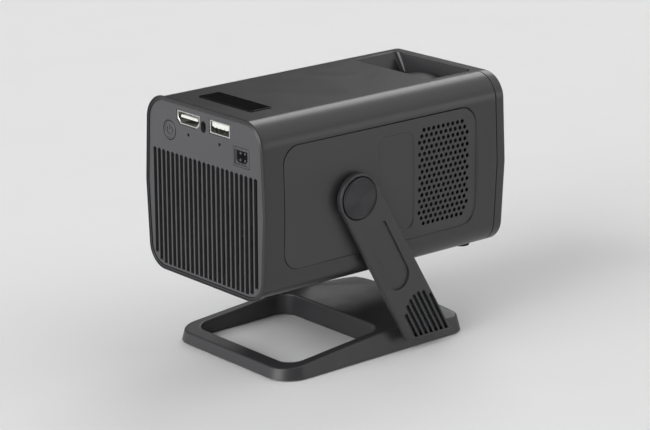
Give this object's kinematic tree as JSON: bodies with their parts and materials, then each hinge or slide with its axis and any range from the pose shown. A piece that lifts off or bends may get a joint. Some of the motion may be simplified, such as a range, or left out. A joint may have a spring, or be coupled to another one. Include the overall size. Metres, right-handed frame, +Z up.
{
  "type": "portable projector",
  "caption": "Portable projector with a tilting stand: box body with rear sockets and vent, side sound holes, focus ring in a top well, two arms and a wedge base with a window.",
  "frame": {"origin": "centre of the bounding box bottom, on the surface the stand rests on", "axes": "+X towards the lens (the way it projects), +Y towards its left side, +Z up"},
  "size_m": [0.135, 0.0868, 0.1124],
  "materials": {
    "shell_plastic": "fine satin grain, moulded dark grey",
    "panel_plastic": "fine matt grain, moulded dark grey",
    "stand_plastic": "satin, moulded dark grey",
    "gloss_black": "glossy black",
    "black_plastic": "matt black",
    "rubber": "matt black",
    "steel": "plated, satin",
    "dark_steel": "dark, spun finish",
    "aluminium": "satin",
    "board_green": "solder mask",
    "white_plastic": "satin",
    "clear_glass": "polished",
    "lcd_glass": "polished",
    "phosphor": "matt"
  },
  "bodies": {
    "stand": {"stand_base": "stand_plastic", "left_arm": "stand_plastic", "right_arm": "stand_plastic", "left_hub_cap": "dark_steel", "right_hub_cap": "dark_steel", "base_foot_1": "rubber", "base_foot_2": "rubber", "base_foot_3": "rubber", "base_foot_4": "rubber", "left_arm_screw_1": "dark_steel", "left_arm_screw_2": "dark_steel", "right_arm_screw_1": "dark_steel", "right_arm_screw_2": "dark_steel"},
    "projector_head": {"main_shell": "shell_plastic", "front_bezel": "shell_plastic", "rear_panel": "panel_plastic", "left_side_panel": "panel_plastic", "right_side_panel": "panel_plastic", "name_plate": "gloss_black", "front_panel": "gloss_black", "ir_window": "gloss_black", "hdmi_tongue": "black_plastic", "power_inlet": "black_plastic", "power_switch": "black_plastic", "fan_frame": "black_plastic", "optical_housing": "black_plastic", "lens_holder": "black_plastic", "left_speaker": "black_plastic", "right_speaker": "black_plastic", "body_foot_1": "rubber", "body_foot_2": "rubber", "body_foot_3": "rubber", "body_foot_4": "rubber", "left_friction_washer": "rubber", "right_friction_washer": "rubber", "hdmi_shell": "steel", "usb_shell": "steel", "left_pivot_plate": "steel", "right_pivot_plate": "steel", "left_pivot_pin": "dark_steel", "right_pivot_pin": "dark_steel", "heat_sink": "aluminium", "led_board": "aluminium", "led_reflector": "aluminium", "main_board": "board_green", "usb_tongue": "white_plastic", "condenser_lens": "clear_glass", "front_fresnel": "clear_glass", "rear_fresnel": "clear_glass", "lcd_panel": "lcd_glass", "led_emitter": "phosphor"},
    "focus_ring_body": {"focus_ring": "black_plastic"},
    "lens_unit": {"lens_barrel": "black_plastic", "front_lens": "clear_glass", "rear_lens": "clear_glass"},
    "power_button_body": {"power_button": "shell_plastic"},
    "fan_rotor_body": {"fan_rotor": "black_plastic"}
  },
  "joints": [
    {"name": "tilt", "type": "hinge", "parent": "stand", "child": "projector_head", "pos_m": [-0.01964, 0, 0.0742], "axis": [0, -1, 0], "range_deg": [-15, 180]},
    {"name": "focus_turn", "type": "hinge", "parent": "projector_head", "child": "focus_ring_body", "pos_m": [0.05285, 0, 0.0742], "axis": [1, 0, 0], "range_deg": [-41, 60]},
    {"name": "lens_slide", "type": "slide", "parent": "projector_head", "child": "lens_unit", "axis": [1, 0, 0], "range_m": [-0.0021, 0.0031]},
    {"name": "power_press", "type": "slide", "parent": "projector_head", "child": "power_button_body", "axis": [1, 0, 0], "range_m": [0, 0.0008], "stiffness_N_per_m": 1200, "springref_m": -0.0003},
    {"name": "fan_spin", "type": "hinge", "parent": "projector_head", "child": "fan_rotor_body", "pos_m": [-0.05485, 0, 0.0644], "axis": [1, 0, 0], "continuous": true}
  ],
  "couplings": [
    {"joint": "focus_turn", "follows": "lens_slide", "rad_per_m": 333.33}
  ]
}
